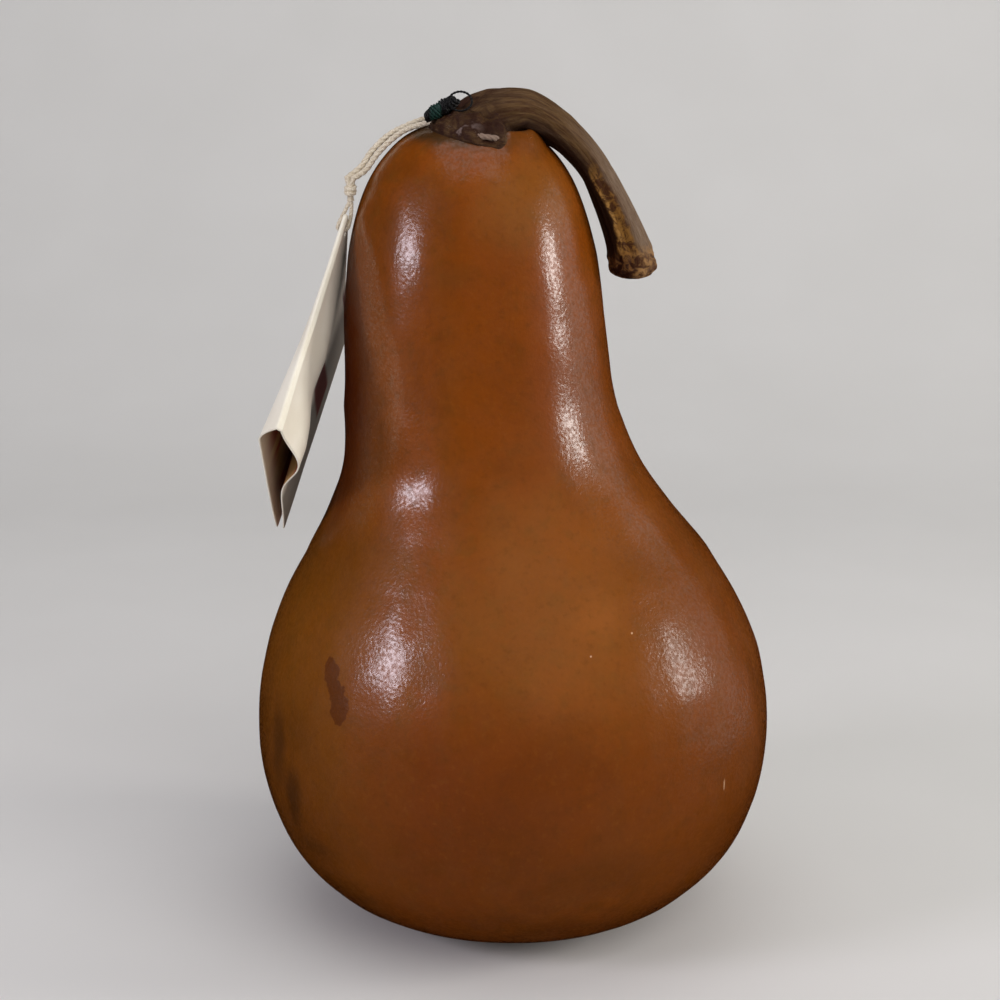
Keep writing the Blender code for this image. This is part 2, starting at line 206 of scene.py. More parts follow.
def grid_mesh(name, rows, closed=True, uv_rows=None, cap_start=False, cap_end=None):
    """Mesh through rows of points in mm, with a UV map of (round, along)."""
    body = bmesh.new()
    uv = body.loops.layers.uv.new("UVMap")
    verts = [[body.verts.new(point * MM) for point in row] for row in rows]
    count = len(rows[0])
    last = len(rows) - 1
    for index in range(last):
        for side in range(count if closed else count - 1):
            other = (side + 1) % count
            face = body.faces.new((verts[index][side], verts[index][other],
                                   verts[index + 1][other], verts[index + 1][side]))
            across = (side / count, (side + 1) / count)
            along = (index / last, (index + 1) / last)
            if uv_rows:
                along = (uv_rows[index], uv_rows[index + 1])
            for loop, place in zip(face.loops, ((across[0], along[0]), (across[1], along[0]),
                                                (across[1], along[1]), (across[0], along[1]))):
                loop[uv].uv = place
    if cap_start:
        body.faces.new(verts[0])
    if cap_end is not None:
        tip = body.verts.new(cap_end * MM)
        for side in range(count):
            body.faces.new((verts[-1][side], verts[-1][(side + 1) % count], tip))
    return finish_mesh(name, body)


def finish_mesh(name, body):
    """Object from a finished bmesh, facing out and shaded smooth."""
    bmesh.ops.recalc_face_normals(body, faces=body.faces)
    mesh = bpy.data.meshes.new(name)
    body.to_mesh(mesh)
    body.free()
    for polygon in mesh.polygons:
        polygon.use_smooth = True
    piece = bpy.data.objects.new(name, mesh)
    bpy.context.scene.collection.objects.link(piece)
    return piece


def place_piece(piece, material, slot, *nodes):
    """Gives a piece its material and its body, and hides the CAD nodes that it stands for."""
    piece.data.materials.append(material)
    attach(piece, "root")
    if nodes:
        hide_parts(*nodes)
    return piece


# Material helpers
class Nodes:
    """Short way to add and join shader nodes."""

    def __init__(self, name):
        self.material = bpy.data.materials.new(name)
        self.material.use_nodes = True
        self.tree = self.material.node_tree
        self.surface = self.tree.nodes["Principled BSDF"]
        self.place = self.add("ShaderNodeTexCoord").outputs["Object"]

    def add(self, kind, **values):
        node = self.tree.nodes.new(kind)
        for key, value in values.items():
            setattr(node, key, value)
        return node

    def put(self, socket, value):
        if isinstance(value, (int, float)):
            socket.default_value = value
        elif isinstance(value, tuple):
            short = len(socket.default_value) == 4 and len(value) == 3
            socket.default_value = (*value, 1.0) if short else value
        else:
            self.tree.links.new(value, socket)

    def noise(self, scale, detail=3.0, rough=0.55, vector=None, distortion=0.0):
        node = self.add("ShaderNodeTexNoise")
        self.put(node.inputs["Vector"], self.place if vector is None else vector)
        node.inputs["Scale"].default_value = scale
        node.inputs["Detail"].default_value = detail
        node.inputs["Roughness"].default_value = rough
        node.inputs["Distortion"].default_value = distortion
        return node.outputs["Fac"]

    def cells(self, scale, feature="F1", vector=None):
        node = self.add("ShaderNodeTexVoronoi", feature=feature)
        self.put(node.inputs["Vector"], self.place if vector is None else vector)
        node.inputs["Scale"].default_value = scale
        return node.outputs["Distance"]

    def span(self, value, low, high, out_low=0.0, out_high=1.0):
        node = self.add("ShaderNodeMapRange", interpolation_type="SMOOTHSTEP")
        self.put(node.inputs["Value"], value)
        node.inputs["From Min"].default_value = low
        node.inputs["From Max"].default_value = high
        node.inputs["To Min"].default_value = out_low
        node.inputs["To Max"].default_value = out_high
        return node.outputs["Result"]

    def math(self, operation, first, second=0.0):
        node = self.add("ShaderNodeMath", operation=operation)
        self.put(node.inputs[0], first)
        self.put(node.inputs[1], second)
        return node.outputs[0]

    def mix(self, share, first, second):
        node = self.add("ShaderNodeMix", data_type="RGBA")
        self.put(node.inputs["Factor"], share)
        self.put(node.inputs[6], first)
        self.put(node.inputs[7], second)
        return node.outputs[2]

    def axis(self, which, vector=None):
        node = self.add("ShaderNodeSeparateXYZ")
        self.put(node.inputs[0], self.place if vector is None else vector)
        return node.outputs[which]

    def stretched(self, scale, vector=None):
        node = self.add("ShaderNodeMapping")
        self.put(node.inputs["Vector"], self.place if vector is None else vector)
        node.inputs["Scale"].default_value = scale
        return node.outputs["Vector"]

    def spot(self, centre, size, soft=0.5, wobble=0.0, wobble_scale=150.0):
        """Mask round a point, `size` mm along each axis, with a soft and wavy edge."""
        move = self.add("ShaderNodeVectorMath", operation="SUBTRACT")
        self.put(move.inputs[0], self.place)
        move.inputs[1].default_value = Vector(centre) * MM
        scale = self.add("ShaderNodeVectorMath", operation="MULTIPLY")
        self.put(scale.inputs[0], move.outputs[0])
        scale.inputs[1].default_value = Vector((1.0 / (side * MM) for side in size))
        reach = self.add("ShaderNodeVectorMath", operation="LENGTH")
        self.put(reach.inputs[0], scale.outputs[0])
        distance = reach.outputs["Value"]
        if wobble:
            shift = self.math("MULTIPLY", self.math("SUBTRACT", self.noise(wobble_scale), 0.5), wobble)
            distance = self.math("ADD", distance, shift)
        return self.span(distance, 1.0 + soft, 1.0 - soft)

    def bump(self, height, distance, strength=1.0, below=None):
        node = self.add("ShaderNodeBump")
        node.inputs["Strength"].default_value = strength
        node.inputs["Distance"].default_value = distance
        self.put(node.inputs["Height"], height)
        if below is not None:
            self.put(node.inputs["Normal"], below)
        return node.outputs["Normal"]

    def finish(self, colour, roughness, normal=None, **sockets):
        self.put(self.surface.inputs["Base Color"], colour)
        self.put(self.surface.inputs["Roughness"], roughness)
        if normal is not None:
            self.put(self.surface.inputs["Normal"], normal)
        for name, value in sockets.items():
            self.put(self.surface.inputs[name.replace("_", " ")], value)
        return self.material


def skin_material():
    """Waxed, leathery gourd skin."""
    n = Nodes("gourd_skin")
    height = n.axis(2)
    side = n.axis(0)
    broad = n.noise(14.0, 2.0, 0.5)
    middle = n.noise(48.0, 4.0, 0.6, distortion=0.5)
    streaks = n.noise(1.0, 3.0, 0.5, vector=n.stretched((75.0, 75.0, 15.0)))
    fine = n.noise(520.0, 3.0, 0.65)
    colour = n.mix(n.span(broad, 0.36, 0.64), (0.21, 0.044, 0.0008), (0.265, 0.062, 0.0015))
    colour = n.mix(n.span(streaks, 0.42, 0.66, 0.0, 0.5), colour, (0.22, 0.066, 0.007))
    colour = n.mix(n.span(middle, 0.46, 0.7, 0.0, 0.7), colour, (0.15, 0.036, 0.001))
    cloudy = n.noise(210.0, 4.0, 0.65, distortion=0.4)
    colour = n.mix(n.span(cloudy, 0.48, 0.7, 0.0, 0.5), colour, (0.14, 0.046, 0.003))
    # Two orange stripes down the neck, a painted sheen that pales the waist and shoulder, a redder middle of
    # the belly, a darker right side from painted shade and a dark patch left of the waist
    colour = n.mix(n.math("MULTIPLY", n.spot((-9.5, -33.0, 165.0), (5.5, 12.0, 42.0), 0.5, 0.5, 90.0), 0.45),
                   colour, (0.27, 0.06, 0.0006))
    # Painted sheen: the next two patches pale the waist and the shoulder as soft room light would
    colour = n.mix(n.math("MULTIPLY", n.spot((12.0, -50.0, 96.0), (34.0, 60.0, 27.0), 0.9, 0.8, 60.0), 0.6),
                   colour, (0.225, 0.08, 0.013))
    colour = n.mix(n.math("MULTIPLY", n.spot((4.0, -25.0, 195.0), (13.0, 20.0, 10.0), 0.6, 0.5, 90.0), 0.55),
                   colour, (0.215, 0.082, 0.013))
    colour = n.mix(n.math("MULTIPLY", n.spot((0.0, -62.0, 58.0), (28.0, 40.0, 18.0), 0.7, 0.5, 60.0), 0.65),
                   colour, (0.15, 0.028, 0.0006))
    colour = n.mix(n.math("MULTIPLY", n.spot((8.5, -29.0, 160.0), (5.0, 14.0, 26.0), 0.6, 0.5), 0.6),
                   colour, (0.27, 0.062, 0.012))
    # Painted shade: darker right side
    colour = n.mix(n.span(side, 0.012, 0.06, 0.0, 0.55), colour, (0.13, 0.032, 0.003))
    colour = n.mix(n.math("MULTIPLY", n.spot((-44.0, -20.0, 109.0), (14.0, 30.0, 17.0), 0.7, 0.6, 60.0), 0.5),
                   colour, (0.115, 0.03, 0.001))
    # Yellower along the left, a painted maroon shadow of the card at the neck's left edge, darker towards the
    # base
    colour = n.mix(n.span(side, -0.02, -0.056, 0.0, 0.65), colour, (0.17, 0.06, 0.003))
    colour = n.mix(n.math("MULTIPLY", n.spot((-10.0, -30.0, 156.0), (60.0, 60.0, 34.0), 0.4), 0.42),
                   colour, (0.135, 0.03, 0.0006))
    # Painted shadow: maroon where the card shades the neck's left edge
    shadow_side = n.spot((-46.0, -12.0, 149.0), (8.5, 30.0, 36.0), 0.6, 0.4, 80.0)
    colour = n.mix(n.math("MULTIPLY", shadow_side, 0.8), colour, (0.085, 0.009, 0.0006))
    colour = n.mix(n.span(height, 0.09, 0.03, 0.0, 0.6), colour, (0.115, 0.027, 0.0008))
    # Pale orange patches, mottling and dark stains
    colour = n.mix(n.math("MULTIPLY", n.spot((21.0, -52.0, 97.0), (5.0, 14.0, 4.0), 0.8, 1.6, 260.0), 0.25),
                   colour, (0.36, 0.1, 0.014))
    colour = n.mix(n.math("MULTIPLY", n.spot((-14.5, -32.0, 178.0), (7.5, 12.0, 2.6), 0.8, 2.4, 300.0), 0.3),
                   colour, (0.12, 0.04, 0.004))
    stain = n.math("MAXIMUM", n.spot((-44.9, -46.0, 81.0), (2.1, 9.0, 3.8), 0.08, 1.3, 300.0),
                   n.spot((-43.0, -50.5, 74.2), (2.5, 9.0, 4.6), 0.08, 1.3, 300.0))
    stain = n.math("MAXIMUM", stain, n.spot((-44.0, -48.5, 78.0), (1.7, 9.0, 2.6), 0.08, 0.9, 300.0))
    colour = n.mix(n.math("MULTIPLY", stain, 0.68), colour, (0.075, 0.015, 0.0008))
    for centre, size, share in (((-60.0, -32.0, 58.0), (2.0, 8.0, 10.0), 0.65),
                                ((-56.0, -39.0, 45.0), (2.2, 8.0, 8.0), 0.7),
                                ((-50.5, -43.0, 33.0), (5.0, 9.0, 2.6), 0.45),
                                ((24.0, -62.0, 34.0), (12.0, 20.0, 6.0), 0.25),
                                ((-54.0, -36.0, 64.0), (3.0, 9.0, 6.0), 0.25)):
        colour = n.mix(n.math("MULTIPLY", n.spot(centre, size, 0.7, 1.2, 130.0), share),
                       colour, (0.06, 0.02, 0.003))
    # Brown halo where the stem's dry skin joins, and a dark olive margin inside it
    halo = n.spot((-8.5, -6.5, 212.0), (18.0, 16.5, 9.0), 0.3, 0.9, 190.0)
    colour = n.mix(n.math("MULTIPLY", halo, 0.55), colour, (0.1, 0.03, 0.004))
    margin = n.spot((-11.0, -6.0, 212.0), (15.0, 13.8, 9.0), 0.13, 0.5, 260.0)
    colour = n.mix(n.math("MULTIPLY", margin, 0.85), colour, (0.055, 0.028, 0.008))
    # Fine speckle, two pale dots and a scratch
    colour = n.mix(n.span(fine, 0.52, 0.72, 0.0, 0.25), colour, (0.1, 0.028, 0.001))
    colour = n.mix(n.span(fine, 0.46, 0.28, 0.0, 0.1), colour, (0.31, 0.105, 0.012))
    for centre in ((29.2, -51.1, 93.0), (18.9, -58.1, 89.1)):
        colour = n.mix(n.spot(centre, (0.22, 0.6, 0.22), 0.5), colour, (0.6, 0.36, 0.2))
    colour = n.mix(n.math("MULTIPLY", n.spot((53.6, -44.3, 51.3), (0.25, 0.6, 1.4), 0.5, 0.5, 700.0), 0.7),
                   colour, (0.5, 0.3, 0.17))
    pebbles = n.cells(1050.0, "SMOOTH_F1")
    grain = n.noise(1200.0, 3.0, 0.6)
    swell = n.noise(90.0, 2.0, 0.5)
    normal = n.bump(swell, 0.0004, 0.18)
    normal = n.bump(pebbles, 0.0001, 0.3, normal)
    normal = n.bump(grain, 0.00011, 0.5, normal)
    n.put(n.surface.inputs["Coat Normal"], normal)
    polish = n.span(n.noise(1050.0, 2.0, 0.5), 0.4, 0.6, 0.35, 1.0)
    worn = n.spot((41.0, -49.0, 83.0), (24.0, 30.0, 26.0), 0.5, 0.6, 90.0)
    dull = n.math("MULTIPLY", n.span(shadow_side, 0.0, 1.0, 1.0, 0.08), n.span(worn, 0.0, 1.0, 1.0, 0.55))
    roughness = n.span(n.noise(150.0, 3.0, 0.6), 0.3, 0.7, 0.34, 0.46)
    return n.finish(colour, roughness, normal, Specular_IOR_Level=n.math("MULTIPLY", dull, 0.18),
                    Coat_Weight=n.math("MULTIPLY", polish, dull), Coat_Roughness=0.18)


def bark_material():
    """Dry stem skin: olive-brown above, with painted shade nearly black below, a painted grey sheen on the
    outer side and a golden flaked band near the end.
    """
    n = Nodes("stem_bark")
    uv = n.add("ShaderNodeUVMap", uv_map="UVMap").outputs["UV"]
    along = n.axis(1, uv)
    fibre = n.noise(1.0, 6.0, 0.7, vector=n.stretched((44.0, 12.0, 1.0), uv), distortion=0.9)
    threads = n.noise(1.0, 4.0, 0.65, vector=n.stretched((150.0, 26.0, 1.0), uv), distortion=0.3)
    flakes = n.noise(420.0, 5.0, 0.72, distortion=0.8)
    mottle = n.noise(190.0, 4.0, 0.6, distortion=0.5)
    wander = n.math("MULTIPLY", n.math("SUBTRACT", mottle, 0.5), 0.12)
    placed = n.math("ADD", n.axis(0, uv), wander)
    upper = n.math("COSINE", n.math("MULTIPLY", n.math("SUBTRACT", placed, 0.55), 2.0 * math.pi))
    colour = n.mix(n.span(fibre, 0.36, 0.62), (0.055, 0.02, 0.006), (0.125, 0.066, 0.022))
    colour = n.mix(n.span(threads, 0.5, 0.72, 0.0, 0.5), colour, (0.19, 0.12, 0.055))
    # Greyer and lighter on the outer side, more so towards the end: a painted sheen of the lit side
    painted_side_sheen = n.math("MULTIPLY", n.span(upper, 0.3, 0.95), n.span(along, 0.25, 0.5, 0.1, 0.85))
    painted_side_sheen = n.math("MULTIPLY", painted_side_sheen, n.span(threads, 0.36, 0.6, 0.35, 1.0))
    colour = n.mix(painted_side_sheen, colour, (0.24, 0.165, 0.115))
    # Painted shade, nearly black on the inner side, with the golden flaked band beside it
    colour = n.mix(n.math("MULTIPLY", n.span(upper, 0.45, -0.25), 0.92), colour, (0.018, 0.0055, 0.0022))
    band = n.math("MULTIPLY", n.span(placed, 0.685, 0.72), n.span(placed, 0.84, 0.81))
    band = n.math("MULTIPLY", band, n.span(along, 0.4, 0.5))
    gold = n.mix(n.span(flakes, 0.42, 0.58), (0.06, 0.019, 0.005), (0.25, 0.115, 0.022))
    colour = n.mix(n.math("MULTIPLY", band, 0.95), colour, gold)
    edge = n.math("MULTIPLY", n.span(placed, 0.785, 0.8), n.span(placed, 0.825, 0.81))
    edge = n.math("MULTIPLY", edge, n.math("MULTIPLY", n.span(along, 0.42, 0.5), n.span(flakes, 0.4, 0.55)))
    colour = n.mix(n.math("MULTIPLY", edge, 0.7), colour, (0.42, 0.22, 0.06))
    # Crumbly end: dark middle, golden-tan rim on its outer side
    rim = n.mix(n.span(flakes, 0.4, 0.58), (0.08, 0.028, 0.01), (0.34, 0.18, 0.065))
    core = n.mix(n.span(flakes, 0.46, 0.6), (0.03, 0.007, 0.003), (0.16, 0.065, 0.018))
    crumbs = n.mix(n.span(placed, 0.7, 0.76), rim, core)
    colour = n.mix(n.math("MULTIPLY", n.span(along, 0.655, 0.7), 0.92), colour, crumbs)
    # Darker mottled foot with a few pale flecks
    foot = n.span(along, 0.2, 0.12)
    colour = n.mix(n.math("MULTIPLY", foot, n.span(mottle, 0.38, 0.56, 0.25, 0.95)),
                   colour, (0.032, 0.01, 0.005))
    fleck = n.span(mottle, 0.56, 0.64)
    fleck = n.math("MULTIPLY", fleck, n.spot((-14.0, -15.0, 214.5), (5.5, 6.0, 4.5), 0.5))
    colour = n.mix(n.math("MULTIPLY", fleck, 0.5), colour, (0.3, 0.22, 0.2))
    normal = n.bump(fibre, 0.0008, 0.6)
    normal = n.bump(threads, 0.0004, 0.5, normal)
    normal = n.bump(flakes, 0.0007, 0.5, normal)
    return n.finish(colour, n.span(flakes, 0.3, 0.7, 0.45, 0.7), normal, Specular_IOR_Level=0.2)


def thread_material():
    """Black thread with a green stretch."""
    n = Nodes("dark_thread")
    patch = n.spot((-19.2, -12.0, 217.4), (1.4, 5.0, 3.4), 0.3, 0.6, 500.0)
    fuzz = n.noise(3500.0, 3.0, 0.6)
    colour = n.mix(patch, (0.0045, 0.004, 0.0045), (0.008, 0.04, 0.03))
    colour = n.mix(n.span(fuzz, 0.55, 0.75, 0.0, 0.35), colour, (0.05, 0.07, 0.062))
    return n.finish(colour, 0.5, n.bump(fuzz, 0.0002, 0.6))


def cotton_material():
    """Soft cream cotton."""
    n = Nodes("cotton_string")
    fuzz = n.noise(2600.0, 4.0, 0.65)
    soil = n.noise(160.0, 3.0)
    colour = n.mix(n.span(fuzz, 0.35, 0.65), (0.58, 0.49, 0.36), (0.82, 0.75, 0.62))
    colour = n.mix(n.span(soil, 0.52, 0.75, 0.0, 0.45), colour, (0.5, 0.4, 0.27))
    shade = n.spot((-7.0, -17.0, 212.5), (14.0, 5.0, 3.0), 0.3)
    colour = n.mix(n.math("MULTIPLY", shade, 0.9), colour, (0.19, 0.115, 0.085))
    return n.finish(colour, 0.9, n.bump(fuzz, 0.0002, 0.8))


def card_material():
    """Uncoated cream card, with painted shade behind its bulge, and a brown inner face streaked along the fold.
    """
    n = Nodes("cream_card")
    uv = n.add("ShaderNodeUVMap", uv_map="UVMap").outputs["UV"]
    across = n.axis(0, uv)
    along = n.axis(1, uv)
    fibres = n.noise(900.0, 5.0, 0.7)
    cloud = n.noise(60.0, 2.0)
    colour = n.mix(n.span(cloud, 0.35, 0.65), (0.88, 0.83, 0.7), (0.94, 0.9, 0.78))
    colour = n.mix(n.span(fibres, 0.55, 0.75, 0.0, 0.15), colour, (0.72, 0.64, 0.5))
    # Painted shade: the back strip of the right leaf greyed, and two dark hollows against the bulge painted as
    # shadow tinted by a painted reflection of the gourd
    colour = n.mix(n.span(across, 0.425, 0.445, 0.0, 0.8), colour, (0.22, 0.19, 0.16))
    painted_hollow_shade = n.math("MULTIPLY", n.span(along, 0.33, 0.37), n.span(along, 0.54, 0.5))
    painted_hollow_shade = n.math("MAXIMUM", painted_hollow_shade, n.span(along, 0.07, 0.05))
    painted_hollow_shade_width = n.math("MULTIPLY", n.span(across, 0.41, 0.43), n.span(across, 0.473, 0.466))
    painted_hollow_shade = n.math("MULTIPLY", painted_hollow_shade, painted_hollow_shade_width)
    colour = n.mix(n.math("MULTIPLY", painted_hollow_shade, 0.95), colour, (0.2, 0.022, 0.013))
    # Inner face
    streaks = n.noise(1.0, 3.0, 0.55, vector=n.stretched((34.0, 2.2, 1.0), uv))
    brown = n.mix(n.span(streaks, 0.42, 0.6), (0.26, 0.055, 0.018), (0.42, 0.25, 0.09))
    lip = n.math("MULTIPLY", n.span(along, 0.86, 0.985, 0.0, 0.85), n.span(across, 0.76, 0.72))
    brown = n.mix(lip, brown, (0.74, 0.63, 0.48))
    colour = n.mix(n.span(across, 0.495, 0.505), colour, brown)
    return n.finish(colour, 0.75, n.bump(fibres, 0.0001, 0.5), Specular_IOR_Level=0.3)


def floor_material():
    """Pale matte floor with a trace of unevenness."""
    n = Nodes("pale_floor")
    colour = n.mix(n.noise(9.0, 2.0), (0.74, 0.735, 0.72), (0.8, 0.795, 0.785))
    return n.finish(colour, 0.85)


def add_camera():
    """Camera where the photo was taken from."""
    data = bpy.data.cameras.new("camera")
    data.sensor_fit = "HORIZONTAL"
    data.sensor_width = SENSOR
    data.lens = SENSOR * FOCAL_SHARE
    data.clip_start = 0.01
    camera = bpy.data.objects.new("camera", data)
    camera.location = CAMERA_PLACE
    camera.rotation_euler = (math.pi / 2.0 - CAMERA_PITCH, 0.0, 0.0)
    bpy.context.scene.collection.objects.link(camera)
    bpy.context.scene.camera = camera


def add_light(name, azimuth, elevation, distance, size, power, colour, glossy=True):
    """Soft rectangular light aimed at the gourd; azimuth 0 is the camera's side, positive to the right."""
    target = Vector((-0.003, 0.0, 0.115))
    turn = math.radians(azimuth)
    rise = math.radians(elevation)
    away = Vector((math.sin(turn) * math.cos(rise), -math.cos(turn) * math.cos(rise), math.sin(rise)))
    data = bpy.data.lights.new(name, "AREA")
    data.shape = "RECTANGLE"
    data.size, data.size_y = size
    data.energy = power
    data.color = colour
    light = bpy.data.objects.new(name, data)
    light.visible_glossy = glossy
    light.location = target + away * distance
    light.rotation_euler = away.to_track_quat("Z", "Y").to_euler()
    bpy.context.scene.collection.objects.link(light)


def add_lights():
    """Two compact windows for the highlights, a dim wide one, and soft warm light from the camera's side."""
    add_light("window_left", -60.0, 20.0, 1.0, (0.29, 0.23), 3.1, (0.95, 0.89, 1.0))
    add_light("window_right", 84.0, 13.5, 1.0, (0.22, 0.28), 2.9, (1.0, 0.95, 0.9))
    add_light("room_right", 98.0, 8.0, 1.6, (1.3, 1.3), 3.2, (1.0, 0.95, 0.9))
    add_light("fill_front", 30.0, 32.0, 2.0, (2.0, 1.6), 21.0, (1.0, 0.98, 0.95), glossy=False)
    add_light("ceiling", 10.0, 84.0, 1.4, (1.2, 1.2), 3.6, (1.0, 0.99, 0.97))
    world = bpy.data.worlds.new("pale_room")
    bpy.context.scene.world = world
    world.use_nodes = True
    world.cycles_visibility.glossy = False
    background = world.node_tree.nodes["Background"]
    background.inputs["Color"].default_value = (0.96, 0.97, 1.0, 1.0)
    background.inputs["Strength"].default_value = 0.22
    bpy.context.scene.view_settings.view_transform = "Standard"


def add_floor():
    """Pale floor that curves up into a plain backdrop; neither is part of the object."""
    profile = [(-2500.0, -0.02), (500.0, -0.02)]
    for step in range(1, 17):
        turn = math.radians(90.0 * step / 16)
        profile.append((500.0 + 600.0 * math.sin(turn), 600.0 - 600.0 * math.cos(turn) - 0.02))
    profile.append((1100.0, 1800.0))
    rows = [[Vector((x * 2500.0, y, z)) for x in (-1, 1)] for y, z in profile]
    floor = grid_mesh("floor", rows, closed=False)
    floor.data.materials.append(floor_material())
    floor.visible_glossy = False


def line_frames(line, closed):
    """Two directions across the line at each point, carried along without twist."""
    count = len(line)
    tangents = []
    for index in range(count):
        before = line[index - 1] if index or closed else line[0]
        after = line[(index + 1) % count] if index < count - 1 or closed else line[-1]
        tangents.append((after - before).normalized())
    across = tangents[0].orthogonal().normalized()
    frames = []
    for tangent in tangents:
        across = (across - tangent * across.dot(tangent)).normalized()
        frames.append((across.copy(), tangent.cross(across)))
    return frames


def add_tube(body, uv, rows, closed):
    """Joins rings of points in mm into a tube inside the mesh."""
    sides = len(rows[0])
    verts = [[body.verts.new(point * MM) for point in row] for row in rows]
    spans = len(verts) if closed else len(verts) - 1
    for index in range(spans):
        low = verts[index]
        high = verts[(index + 1) % len(verts)]
        for side in range(sides):
            other = (side + 1) % sides
            face = body.faces.new((low[side], low[other], high[other], high[side]))
            for loop, place in zip(face.loops, ((side, index), (side + 1, index),
                                                (side + 1, index + 1), (side, index + 1))):
                loop[uv].uv = (place[0] / sides, place[1] / spans)
    if not closed:
        body.faces.new(verts[0])
        body.faces.new(verts[-1])


def add_rope(body, uv, line, diameter, plies=3, lay=5.0, sides=8, closed=False, seed=1.0):
    """Twisted plies about a line, each a soft uneven tube."""
    frames = line_frames(line, closed)
    count = len(line)
    turns = max(1, round(length_of(line) / lay))
    for ply in range(plies):
        rows = []
        for index in range(count):
            share = index / count if closed else index / (count - 1)
            twist = 2.0 * math.pi * (turns * share + ply / plies)
            first, second = frames[index]
            wander = 1.0 + 0.12 * waves(line[index], 2.2, seed + ply)
            away = first * math.cos(twist) + second * math.sin(twist)
            centre = line[index] + away * diameter * PLY_OFFSET * wander
            row = []
            for side in range(sides):
                angle = 2.0 * math.pi * side / sides
                bulge = waves(line[index] + Vector((side, ply, 0.0)), 0.6, seed)
                reach = diameter * PLY_RADIUS * (1.0 + 0.14 * bulge)
                row.append(centre + (first * math.cos(angle) + second * math.sin(angle)) * reach)
            rows.append(row)
        add_tube(body, uv, rows, closed)


def add_fuzz(body, uv, line, diameter, count, seed):
    """Short stray fibres along a rope."""
    draw = random.Random(seed)
    frames = line_frames(line, False)
    for _ in range(count):
        index = draw.randrange(2, len(line) - 2)
        first, second = frames[index]
        angle = draw.uniform(0.0, 2.0 * math.pi)
        away = first * math.cos(angle) + second * math.sin(angle)
        along = (line[index + 1] - line[index - 1]).normalized() * draw.choice((-1.0, 1.0))
        start = line[index] + away * diameter * 0.42
        length = draw.uniform(0.6, 1.5)
        rows = []
        for step in range(4):
            share = step / 3
            spot = start + (along * (0.9 - 0.3 * share) + away * (0.25 + 0.35 * share)) * length * share
            thick = 0.045 * (1.0 - 0.6 * share)
            rows.append([spot + (first * math.cos(2.1 * side) + second * math.sin(2.1 * side)) * thick
                         for side in range(3)])
        add_tube(body, uv, rows, False)


def rope_piece(name, strands, diameter, fuzz=0, seed=1.0, **shape):
    """Piece made of one or more ropes; each strand is a line and whether it is closed."""
    body = bmesh.new()
    uv = body.loops.layers.uv.new("UVMap")
    for index, (line, closed) in enumerate(strands):
        add_rope(body, uv, line, diameter, closed=closed, seed=seed + index, **shape)
        if fuzz:
            add_fuzz(body, uv, line, diameter, fuzz, round(seed) + index)
    return finish_mesh(name, body)


def shell_outline(steps):
    """The gourd's outline as (radius, height) vectors."""
    return smooth_line([(radius, height, 0.0) for radius, height in SHELL_OUTLINE], steps)


# Shoulder as (distance from the middle, height), from the top outwards
SHOULDER = [(0.0, SHELL_TOP)]
SHOULDER += [(point.x, point.y) for point in shell_outline(4)[::-1] if point.y > SHOULDER_FROM]


def shell_height(x, y):
    """Height of the gourd's shoulder above a point."""
    return between(SHOULDER, math.hypot(x - SHELL_LEAN[-1][1], y))


def round_foot(reach, angle):
    """x and y at a distance and angle from the middle of the stem's foot."""
    return STRING_TURN_CENTRE.x + reach * math.cos(angle), STRING_TURN_CENTRE.y + reach * math.sin(angle)


def shell_point(radius, height, angle):
    """Point of the gourd's skin at a height and angle, uneven by a fraction of a millimetre."""
    centre = between(SHELL_LEAN, height)
    corner_share = ease((height - NECK_FROM) / NECK_FADE) * ease((NECK_TO - height) / NECK_FADE)
    corner = math.cos(NECK_CORNERS * (angle - NECK_CORNER_ANGLE))
    reach = radius * (1.0 + NECK_CORNER_RISE * corner_share * corner)
    place = Vector((centre + reach * math.cos(angle), reach * math.sin(angle), height))
    uneven = 0.32 * waves(place, 26.0, 3.0) + 0.1 * waves(place, 8.0, 5.0)
    uneven += 0.28 * waves(Vector((reach * math.cos(angle), reach * math.sin(angle), height * 0.22)), 9.0, 8.0)
    uneven *= ease(height / 12.0) * ease((SHELL_TOP - height) / 6.0)
    grown = reach + uneven
    place = Vector((centre + grown * math.cos(angle), grown * math.sin(angle), height))
    return place + Vector((0.0, 0.0, shoulder_swell(place)))


def shoulder_swell(place):
    """Rise of the shoulder's skin where it covers the string beside the stem's foot."""
    if place.z < SHOULDER_FROM:
        return 0.0
    away = place - STRING_TURN_CENTRE
    turn = math.atan2(away.y, away.x) % (2.0 * math.pi)
    if turn < math.pi / 2.0:
        turn += 2.0 * math.pi
    sector = ease((turn - SWELL_FROM) / SWELL_FADE) * ease((SWELL_TO - turn) / SWELL_FADE)
    off = (math.hypot(away.x, away.y) - STRING_TURN_RADIUS) / SWELL_WIDTH
    return SWELL_RISE * sector * math.exp(-off * off)


def build_shell(material):
    """The gourd at full detail."""
    outline = shell_outline(SHELL_STEPS)
    rows = []
    for point in outline:
        rows.append([shell_point(point.x, point.y, 2.0 * math.pi * side / SHELL_SIDES)
                     for side in range(SHELL_SIDES)])
    top = Vector((SHELL_LEAN[-1][1], 0.0, SHELL_TOP))
    piece = grid_mesh("gourd", rows, cap_start=True, cap_end=top)
    return place_piece(piece, material, "gourd_skin", "gourd_shell")


def stem_sections():
    """Sections of the stem, smooth between the named ones."""
    places = smooth_line([(x, height, 0.0) for x, height, lean, radius in STEM_SECTIONS], STEM_STEPS)
    shapes = smooth_line([(lean, radius, 0.0) for x, height, lean, radius in STEM_SECTIONS], STEM_STEPS)
    return [(place.x, place.y, shape.x, shape.y) for place, shape in zip(places, shapes)]


